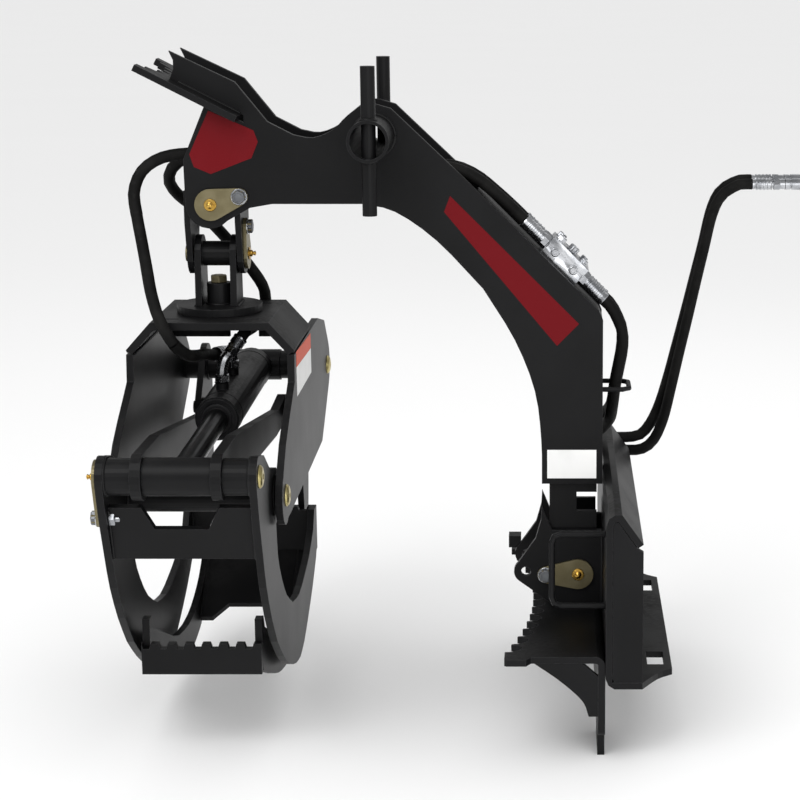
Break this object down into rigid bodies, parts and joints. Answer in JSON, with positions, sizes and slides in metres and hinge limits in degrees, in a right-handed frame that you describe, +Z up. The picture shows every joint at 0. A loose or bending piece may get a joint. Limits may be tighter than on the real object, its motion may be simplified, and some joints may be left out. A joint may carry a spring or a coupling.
{
  "type": "log grapple",
  "caption": "Log grapple for a compact loader: quick-attach plate, gooseneck boom, swinging and turning head, and two linked jaws closed by a hydraulic cylinder.",
  "frame": {"origin": "middle of the quick-attach plate's rear face", "axes": "+X out of the rear face towards the loader, -X out along the boom, Y across the plate, +Z up"},
  "size_m": [1.1001, 0.8387, 1.0505],
  "materials": {
    "black_paint": "satin black powder coat",
    "bright_zinc": "bright zinc plate",
    "yellow_zinc": "yellow zinc plate",
    "hard_chrome": "hard chrome rod",
    "hose_rubber": "matt hydraulic hose cover"
  },
  "bodies": {
    "boom": {"face_plate": "black_paint", "end_plate_near": "black_paint", "end_plate_far": "black_paint", "toothed_shelf": "black_paint", "foot_ear_near": "black_paint", "foot_ear_far": "black_paint", "foot_plate_near": "black_paint", "foot_plate_far": "black_paint", "boom_side_near": "black_paint", "boom_side_far": "black_paint", "boom_back_plate": "black_paint", "boom_belly_plate": "black_paint", "cross_tube": "black_paint", "horn_plate": "black_paint", "boom_pin": "yellow_zinc", "foot_pin": "yellow_zinc", "boom_pin_keeper": "yellow_zinc", "foot_pin_keeper": "yellow_zinc", "guard_loop": "black_paint", "hose_retainer": "black_paint", "crossover_valve": "bright_zinc", "left_hose_1": "hose_rubber", "rear_hose_1": "hose_rubber", "supply_hose_near": "hose_rubber", "supply_hose_far": "hose_rubber", "quick_coupler_near": "bright_zinc", "quick_coupler_far": "bright_zinc"},
    "swing_link": {"swing_link": "black_paint", "cross_pin": "yellow_zinc", "cross_pin_keeper": "yellow_zinc", "left_hose_2": "hose_rubber", "rear_hose_2": "hose_rubber"},
    "clevis": {"clevis": "black_paint", "swivel_disc": "black_paint", "left_hose_3": "hose_rubber", "rear_hose_3": "hose_rubber"},
    "frame": {"crown_strap": "black_paint", "frame_plate_left": "black_paint", "frame_plate_right": "black_paint", "swivel_bolt": "yellow_zinc", "near_jaw_pin": "yellow_zinc", "far_jaw_pin": "yellow_zinc", "left_hose_4": "hose_rubber", "rear_hose_4": "hose_rubber"},
    "near_jaw": {"near_jaw_plate_left": "black_paint", "near_jaw_plate_right": "black_paint", "near_jaw_tube": "black_paint", "near_cross_plate": "black_paint", "near_tip_bar": "black_paint", "rod_pin": "yellow_zinc", "rod_pin_keeper": "yellow_zinc"},
    "far_jaw": {"far_jaw_plate_left": "black_paint", "far_jaw_plate_right": "black_paint", "far_cross_plate": "black_paint", "far_tip_bar": "black_paint"},
    "sync_links": {"sync_link_left": "black_paint", "sync_link_right": "black_paint"},
    "barrel": {"cylinder_barrel": "black_paint"},
    "rod": {"cylinder_rod": "hard_chrome"}
  },
  "joints": [
    {"name": "boom_swing", "type": "hinge", "parent": "boom", "child": "swing_link", "pos_m": [-0.6155, 0, 0.563], "axis": [0, 1, 0], "range_deg": [-4, 35], "deforming": ["left_hose_1", "rear_hose_1"]},
    {"name": "side_tilt", "type": "hinge", "parent": "swing_link", "child": "clevis", "pos_m": [-0.6155, 0, 0.48], "axis": [1, 0, 0], "range_deg": [-25, 25], "deforming": ["left_hose_2", "rear_hose_2"]},
    {"name": "grapple_turn", "type": "hinge", "parent": "clevis", "child": "frame", "pos_m": [-0.6155, 0, 0.388], "axis": [0, 0, 1], "range_deg": [-45, 45], "deforming": ["left_hose_3", "rear_hose_3"]},
    {"name": "near_jaw_open", "type": "hinge", "parent": "frame", "child": "near_jaw", "pos_m": [-0.6155, -0.25, 0.152], "axis": [1, 0, 0], "range_deg": [-28, 0]},
    {"name": "far_jaw_open", "type": "hinge", "parent": "frame", "child": "far_jaw", "pos_m": [-0.6155, 0.35, 0.233], "axis": [1, 0, 0], "range_deg": [0, 32]},
    {"name": "sync_link_turn", "type": "hinge", "parent": "near_jaw", "child": "sync_links", "pos_m": [-0.6155, -0.411, 0.221], "axis": [1, 0, 0], "range_deg": [0, 21.5]},
    {"name": "barrel_turn", "type": "hinge", "parent": "frame", "child": "barrel", "pos_m": [-0.6155, 0.35, 0.233], "axis": [1, 0, 0], "range_deg": [-5.2, 0], "deforming": ["left_hose_4", "rear_hose_4"]},
    {"name": "rod_stroke", "type": "slide", "parent": "barrel", "child": "rod", "axis": [0, -0.9999, -0.0158], "range_m": [-0.056, 0]}
  ],
  "couplings": [
    {"joint": "far_jaw_open", "follows": "near_jaw_open", "ratio": -1.1347},
    {"joint": "sync_link_turn", "follows": "near_jaw_open", "ratio": -0.7586},
    {"joint": "barrel_turn", "follows": "near_jaw_open", "ratio": 0.1809},
    {"joint": "rod_stroke", "follows": "near_jaw_open", "m_per_rad": 0.11158}
  ]
}
